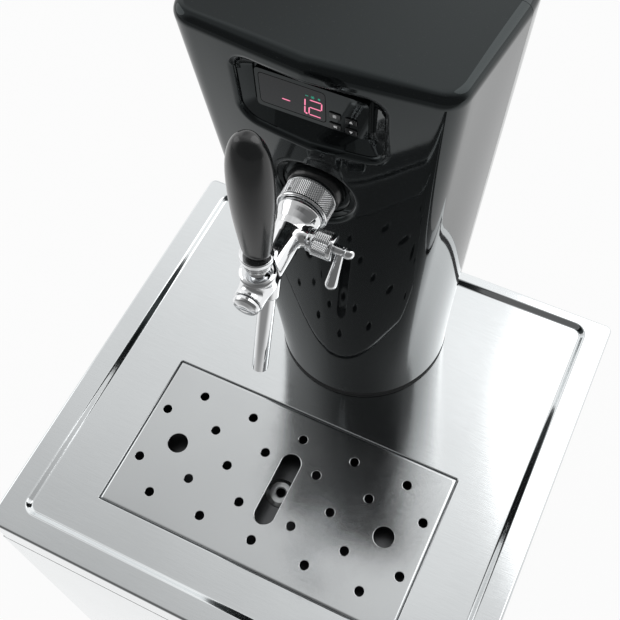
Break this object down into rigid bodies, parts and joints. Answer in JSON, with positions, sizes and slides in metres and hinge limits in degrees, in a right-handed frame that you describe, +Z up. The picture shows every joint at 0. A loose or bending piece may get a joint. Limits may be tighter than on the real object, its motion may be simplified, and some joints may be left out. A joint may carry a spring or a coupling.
{
  "type": "mini keg beer dispenser",
  "caption": "Counter-top cooled beer dispenser for a small keg: steel worktop with drip tray, front door, flared black tower with thermostat and a chrome tap.",
  "frame": {"origin": "on the floor under the middle of the worktop", "axes": "+Z up, -Y towards the front where the door and the tap are, +X to the right of someone who faces the front"},
  "size_m": [0.426, 0.404, 0.8729],
  "materials": {
    "painted_steel": "satin light grey powder coat",
    "black_steel": "semi-gloss black enamel",
    "polished_steel": "fine polished stainless steel",
    "satin_steel": "satin stainless steel",
    "aluminium": "plain aluminium",
    "aluminium_black": "black painted aluminium",
    "chrome": "bright chrome plate",
    "knurled_chrome": "satin chrome with fine diamond knurl",
    "gloss_black": "piano black gloss",
    "soft_black": "semi-matt black",
    "smoked_plastic": "smoked display window",
    "white_plastic": "white moulded liner",
    "foam": null,
    "rubber": "matt black rubber",
    "hose": "milky food hose"
  },
  "bodies": {
    "cabinet": {"cabinet_shell": "painted_steel", "insulation": "foam", "cabinet_liner": "white_plastic", "foot_1": "rubber", "foot_2": "rubber", "foot_3": "rubber", "foot_4": "rubber", "rear_grille": "soft_black", "power_inlet": "soft_black", "compressor": "black_steel", "condenser": "aluminium", "fan_housing": "soft_black", "evaporator": "aluminium", "hinge_top": "satin_steel", "hinge_bottom": "satin_steel", "worktop": "polished_steel", "deck_frame": "satin_steel", "drip_pan": "satin_steel", "drain_fitting": "chrome", "drain_pipe": "hose", "keg": "satin_steel", "keg_coupler": "chrome", "dip_tube": "satin_steel", "gas_bottle": "aluminium_black", "regulator": "chrome", "gas_line": "hose", "beer_line": "hose", "tower_front_shell": "gloss_black", "tower_rear_shell": "gloss_black", "tower_foot_ring": "rubber", "tower_duct": "soft_black", "thermostat_front": "gloss_black", "thermostat_case": "soft_black", "display_window": "smoked_plastic", "shank_flange": "soft_black", "tap_shank": "chrome", "shank_nut": "satin_steel", "coupling_nut": "knurled_chrome", "tap_body": "chrome", "end_cap": "chrome", "spout": "chrome", "compensator_sleeve": "knurled_chrome", "socket_ring": "chrome"},
    "door": {"door_panel": "polished_steel", "door_core": "foam", "door_liner": "white_plastic", "door_gasket": "rubber", "door_grip": "soft_black"},
    "drip_lid": {"drip_lid": "satin_steel"},
    "fan": {"fan_rotor": "soft_black"},
    "power_switch": {"switch_rocker": "soft_black"},
    "gas_knob": {"regulator_knob": "soft_black"},
    "set_key": {"key_set": "soft_black"},
    "light_key": {"key_light": "soft_black"},
    "up_key": {"key_up": "soft_black"},
    "down_key": {"key_down": "soft_black"},
    "handle": {"tap_lever": "chrome", "tap_handle": "soft_black"},
    "piston": {"tap_piston": "satin_steel"},
    "compensator": {"compensator_spindle": "chrome"}
  },
  "joints": [
    {"name": "door_hinge", "type": "hinge", "parent": "cabinet", "child": "door", "pos_m": [0.204, -0.168, 0.212], "axis": [0, 0, 1], "range_deg": [0, 110]},
    {"name": "lid_lift", "type": "slide", "parent": "cabinet", "child": "drip_lid", "axis": [0, 0, 1], "range_m": [0, 0.06]},
    {"name": "fan_spin", "type": "hinge", "parent": "cabinet", "child": "fan", "pos_m": [0.08, 0.1297, 0.096], "axis": [0, 1, 0], "continuous": true},
    {"name": "switch_tip", "type": "hinge", "parent": "cabinet", "child": "power_switch", "pos_m": [0.11, 0.1961, 0.091], "axis": [-1, 0, 0], "range_deg": [0, 14]},
    {"name": "gas_knob_turn", "type": "hinge", "parent": "cabinet", "child": "gas_knob", "pos_m": [0.098, -0.0865, 0.2713], "axis": [0, -1, 0], "range_deg": [0, 1080]},
    {"name": "set_press", "type": "slide", "parent": "cabinet", "child": "set_key", "axis": [0, 1, 0], "range_m": [0, 0.0006], "stiffness_N_per_m": 300},
    {"name": "light_press", "type": "slide", "parent": "cabinet", "child": "light_key", "axis": [0, 1, 0], "range_m": [0, 0.0006], "stiffness_N_per_m": 300},
    {"name": "up_press", "type": "slide", "parent": "cabinet", "child": "up_key", "axis": [0, 1, 0], "range_m": [0, 0.0006], "stiffness_N_per_m": 300},
    {"name": "down_press", "type": "slide", "parent": "cabinet", "child": "down_key", "axis": [0, 1, 0], "range_m": [0, 0.0006], "stiffness_N_per_m": 300},
    {"name": "tap_pull", "type": "hinge", "parent": "cabinet", "child": "handle", "pos_m": [0, -0.047, 0.756], "axis": [1, 0, 0], "range_deg": [-10, 25]},
    {"name": "piston_slide", "type": "slide", "parent": "cabinet", "child": "piston", "axis": [0, 1, 0], "range_m": [-0.0017, 0.0041]},
    {"name": "compensator_turn", "type": "hinge", "parent": "cabinet", "child": "compensator", "pos_m": [0.024, -0.006, 0.747], "axis": [1, 0, 0], "range_deg": [-60, 100]}
  ],
  "couplings": [
    {"joint": "piston_slide", "follows": "tap_pull", "m_per_rad": 0.00903}
  ]
}
